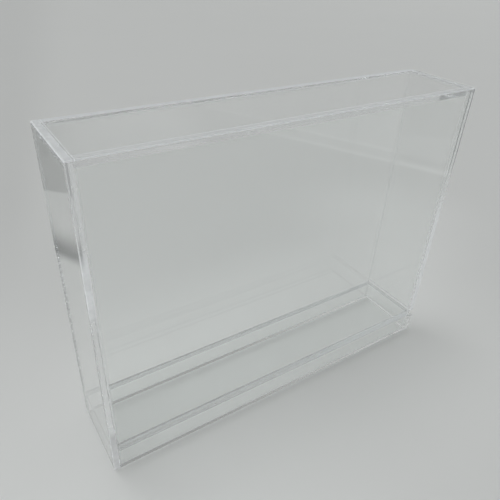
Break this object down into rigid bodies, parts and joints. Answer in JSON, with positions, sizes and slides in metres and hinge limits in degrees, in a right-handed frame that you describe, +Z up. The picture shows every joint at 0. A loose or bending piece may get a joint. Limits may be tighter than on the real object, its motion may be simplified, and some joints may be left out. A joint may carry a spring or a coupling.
{
  "type": "clear display case",
  "caption": "Clear acrylic display case for a boxed game: a welded box open below, with a base that slides in along grooves from one end.",
  "frame": {"origin": "middle of the footprint, on the surface the case stands on", "axes": "+X along the length, towards the end where the base slides out; +Y to the back; +Z up"},
  "size_m": [0.196, 0.041, 0.1525],
  "materials": {
    "clear_acrylic": "clear, polished"
  },
  "bodies": {
    "case": {"front_panel": "clear_acrylic", "back_panel": "clear_acrylic", "left_end_panel": "clear_acrylic", "right_end_panel": "clear_acrylic", "right_foot_strip": "clear_acrylic", "top_panel": "clear_acrylic"},
    "base": {"base_slide": "clear_acrylic"}
  },
  "joints": [
    {"name": "base_travel", "type": "slide", "parent": "case", "child": "base", "axis": [1, 0, 0], "range_m": [0, 0.195]}
  ]
}
